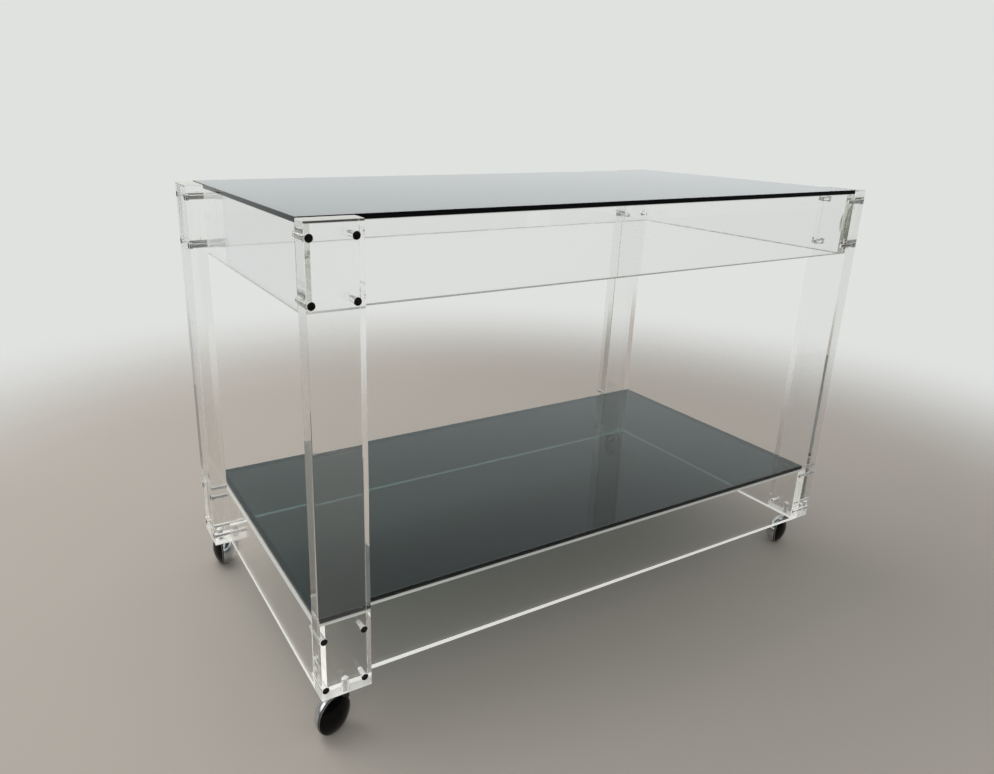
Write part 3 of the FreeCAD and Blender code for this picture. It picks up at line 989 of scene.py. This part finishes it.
def add_camera(stage):
    """A camera where the photograph was taken from."""
    optics = bpy.data.cameras.new("camera")
    optics.sensor_width = stage.sensor_width
    optics.lens = stage.lens
    optics.shift_x = stage.shift_x
    optics.shift_y = stage.shift_y
    camera = bpy.data.objects.new("camera", optics)
    ahead = Vector((
        math.sin(stage.heading) * math.cos(stage.tilt),
        math.cos(stage.heading) * math.cos(stage.tilt),
        -math.sin(stage.tilt),
    ))
    level = Vector((math.cos(stage.heading), -math.sin(stage.heading), 0))
    up = level.cross(ahead)
    across = math.cos(stage.roll) * level + math.sin(stage.roll) * up
    upward = math.cos(stage.roll) * up - math.sin(stage.roll) * level
    turn = Matrix((across, upward, -ahead)).transposed()
    camera.matrix_world = Matrix.Translation(stage.camera_place) @ turn.to_4x4()
    bpy.context.scene.collection.objects.link(camera)
    bpy.context.scene.camera = camera


class TROLLEY_OT_stage(bpy.types.Operator):
    """Adds the floor, the light and the camera"""

    bl_idname = "trolley.stage"
    bl_label = "Set the stage"

    def execute(self, context):
        stage = context.scene.trolley_stage
        add_floor(stage)
        add_room_light(stage)
        low, high = (Vector(corner) for corner in frame_box)
        middle = (low + high) / 2
        front_power = stage.lamp_power * stage.front_lamp_share
        add_lamp("main_lamp", middle + Vector(stage.main_lamp_place), middle, stage.main_lamp_size,
                 stage.lamp_power, mirrored=False)
        add_lamp("front_lamp", middle + Vector(stage.front_lamp_place), middle, stage.front_lamp_size,
                 front_power, mirrored=True)
        add_camera(stage)
        context.scene.view_settings.view_transform = "Standard"
        context.scene.cycles.max_bounces = BOUNCES
        context.scene.cycles.transmission_bounces = BOUNCES
        context.scene.cycles.glossy_bounces = BOUNCES
        context.scene.cycles.transparent_max_bounces = BOUNCES
        return {"FINISHED"}


# Pieces

class TROLLEY_OT_glass_shelves(bpy.types.Operator):
    """Gives both shelves their smoked glass"""

    bl_idname = "trolley.glass_shelves"
    bl_label = "Glaze the shelves"

    def execute(self, context):
        low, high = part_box("top_glass")
        dress(smoked_float_glass(context.scene.trolley_finishes, high.z - low.z), "top_glass", "lower_glass")
        return {"FINISHED"}


class TROLLEY_OT_acrylic_frame(bpy.types.Operator):
    """Gives the legs and aprons their clear acrylic"""

    bl_idname = "trolley.acrylic_frame"
    bl_label = "Clear the frame"

    def execute(self, context):
        finishes = context.scene.trolley_finishes
        thick_sheet = cast_acrylic("thick_cast_acrylic", finishes, finishes.leg_painted_glow)
        thin_sheet = cast_acrylic("thin_cast_acrylic", finishes, finishes.apron_painted_glow)
        dress(thick_sheet, *(f"{corner}_leg" for corner in CORNERS))
        dress(thin_sheet, *(f"{level}_{side}_apron" for level in LEVELS for side in SIDES))
        return {"FINISHED"}


class TROLLEY_OT_leg_screws(bpy.types.Operator):
    """Makes the threaded screws in every leg"""

    bl_idname = "trolley.leg_screws"
    bl_label = "Drive the screws"

    def execute(self, context):
        own = context.scene.trolley_sizes
        zinc = zinc_plated_steel(context.scene.trolley_finishes)
        tree = None
        for index, corner in enumerate(CORNERS):
            facing = outward(index)
            ends = outer_ends(solids_of(f"{corner}_leg_screws"), facing)
            head_radius = ends[0][2]
            by_length = {}
            for place, length, _ in ends:
                by_length.setdefault(round(length, LENGTH_DIGITS), []).append(place)
            whole = bmesh.new()
            for length, points in sorted(by_length.items()):
                sizes = {
                    "Facing": facing,
                    "Length": length,
                    "Head Radius": head_radius,
                    "Head Height": own.head_height,
                    "Shank Radius": head_radius * SHANK_SHARE,
                    "Thread Pitch": own.thread_pitch,
                    "Edge": own.screw_edge,
                }
                tree = tree or screw_tree(sizes)
                part = made_by(tree, "screws", points, zinc, sizes)
                whole.from_mesh(part)
                bpy.data.meshes.remove(part)
            mesh = mesh_from(whole, f"{corner}_threaded_screws")
            shade(mesh)
            piece = new_piece(f"{corner}_threaded_screws", mesh, zinc)
            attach(piece, "frame")
            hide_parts(f"{corner}_leg_screws")
        return {"FINISHED"}


class TROLLEY_OT_screw_caps(bpy.types.Operator):
    """Makes the black caps over the screws"""

    bl_idname = "trolley.screw_caps"
    bl_label = "Press in the caps"

    def execute(self, context):
        own = context.scene.trolley_sizes
        finishes = context.scene.trolley_finishes
        black = moulded_plastic("black_polyethylene", finishes.cap, roughness=0.34, grain=0.6 * MM,
                                grain_depth=0.02 * MM, dust=finishes.dust, dust_share=0.02, specular=0.25)
        tree = None
        for index, corner in enumerate(CORNERS):
            facing = outward(index)
            ends = outer_ends(solids_of(f"{corner}_screw_caps"), facing)
            radius = ends[0][2]
            sizes = {
                "Facing": facing,
                "Radius": radius,
                "Height": ends[0][1],
                "Edge": own.cap_edge,
                "Dish Radius": radius * DISH_FLOOR_SHARE,
                "Dish Depth": own.dish_depth,
            }
            tree = tree or cap_tree(sizes)
            mesh = made_by(tree, f"{corner}_dished_caps", [end[0] for end in ends], black, sizes)
            shade(mesh)
            piece = new_piece(f"{corner}_dished_caps", mesh, black)
            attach(piece, "frame")
            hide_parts(f"{corner}_screw_caps")
        return {"FINISHED"}


class TROLLEY_OT_joint_stains(bpy.types.Operator):
    """Leaves a dried film and a rust stain in the joint at the front right leg"""

    bl_idname = "trolley.joint_stains"
    bl_label = "Stain the joint"

    def execute(self, context):
        finishes = context.scene.trolley_finishes
        own = context.scene.trolley_sizes
        leg_low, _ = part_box("front_right_leg")
        _, apron_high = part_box("upper_front_apron")
        middle = (apron_high.x + leg_low.x) / 2
        crescent = bow(leg_low.y, own.film_bottom, own.film_top, own.film_width, FILM_STEPS)
        add_film("dried_film", thin_plate("dried_film", middle, crescent, own.film_thickness),
                 thin_film("dried_film", finishes.film, cover=0.5))
        spot = drop(finishes.rust_place, own.stain_radius)
        add_film("rust_stain", thin_plate("rust_stain", middle, spot, own.film_thickness),
                 thin_film("rust_stain", finishes.stain, cover=0.75))
        return {"FINISHED"}


class TROLLEY_OT_stem_sockets(bpy.types.Operator):
    """Gives the stem sockets their nylon"""

    bl_idname = "trolley.stem_sockets"
    bl_label = "Fit the sockets"

    def execute(self, context):
        dress(natural_nylon(context.scene.trolley_finishes), *(f"{corner}_socket" for corner in CORNERS))
        return {"FINISHED"}


class TROLLEY_OT_casters(bpy.types.Operator):
    """Finishes every piece of the ball casters"""

    bl_idname = "trolley.casters"
    bl_label = "Finish the casters"

    def execute(self, context):
        finishes = context.scene.trolley_finishes
        chrome = metal("chrome_plate", finishes.chrome, roughness=0.035, wear_share=0.8,
                       streak_length=14 * MM, streak_width=0.25 * MM, streak_depth=0.002 * MM)
        bright = metal("bright_drawn_steel", finishes.drawn_steel, roughness=0.2, wear_share=0.8,
                       streak_length=10 * MM, streak_width=0.2 * MM, streak_depth=0.01 * MM)
        blued = metal("blued_spring_steel", finishes.spring_steel, roughness=0.28, wear_share=0.7,
                      streak_length=6 * MM, streak_width=0.2 * MM, streak_depth=0.01 * MM)
        gloss = moulded_plastic("glossy_phenolic", finishes.wheel, roughness=0.06, grain=5 * MM,
                                grain_depth=0.004 * MM, dust=finishes.dust, dust_share=0.01, specular=0.12)
        nylon = moulded_plastic("black_nylon", finishes.carrier, roughness=0.38, grain=0.5 * MM,
                                grain_depth=0.03 * MM, dust=finishes.dust, dust_share=0.05)
        rubber = tyre_rubber(finishes)
        for corner in CORNERS:
            dress(chrome, f"{corner}_dome_cover")
            dress(bright, f"{corner}_stem", f"{corner}_axle")
            dress(blued, f"{corner}_grip_ring", f"{corner}_axle_washer")
            dress(gloss, f"{corner}_wheel")
            dress(nylon, f"{corner}_carrier")
            dress(rubber, f"{corner}_tyre")
        return {"FINISHED"}


class TROLLEY_PT_pieces(bpy.types.Panel):
    """Lists the pieces of the trolley"""

    bl_label = "Trolley"
    bl_space_type = "VIEW_3D"
    bl_region_type = "UI"
    bl_category = "Trolley"

    def draw(self, context):
        for operator in OPERATORS:
            self.layout.operator(operator.bl_idname)


OPERATORS = (
    TROLLEY_OT_stage,
    TROLLEY_OT_glass_shelves,
    TROLLEY_OT_acrylic_frame,
    TROLLEY_OT_leg_screws,
    TROLLEY_OT_screw_caps,
    TROLLEY_OT_joint_stains,
    TROLLEY_OT_stem_sockets,
    TROLLEY_OT_casters,
)
GROUPS = {
    "trolley_finishes": TrolleyFinishes,
    "trolley_sizes": TrolleySizes,
    "trolley_stage": TrolleyStage,
}
CLASSES = (*GROUPS.values(), *OPERATORS, TROLLEY_PT_pieces)


def register():
    """Adds the classes, and the groups of values to the scene."""
    for added in CLASSES:
        bpy.utils.register_class(added)
    for name, group in GROUPS.items():
        setattr(bpy.types.Scene, name, bpy.props.PointerProperty(type=group))


def unregister():
    """Takes away what register added."""
    for name in GROUPS:
        delattr(bpy.types.Scene, name)
    for added in reversed(CLASSES):
        bpy.utils.unregister_class(added)


def main():
    """Makes every piece."""
    register()
    for operator in OPERATORS:
        group, name = operator.bl_idname.split(".")
        getattr(getattr(bpy.ops, group), name)()


if __name__ == "__main__":
    main()
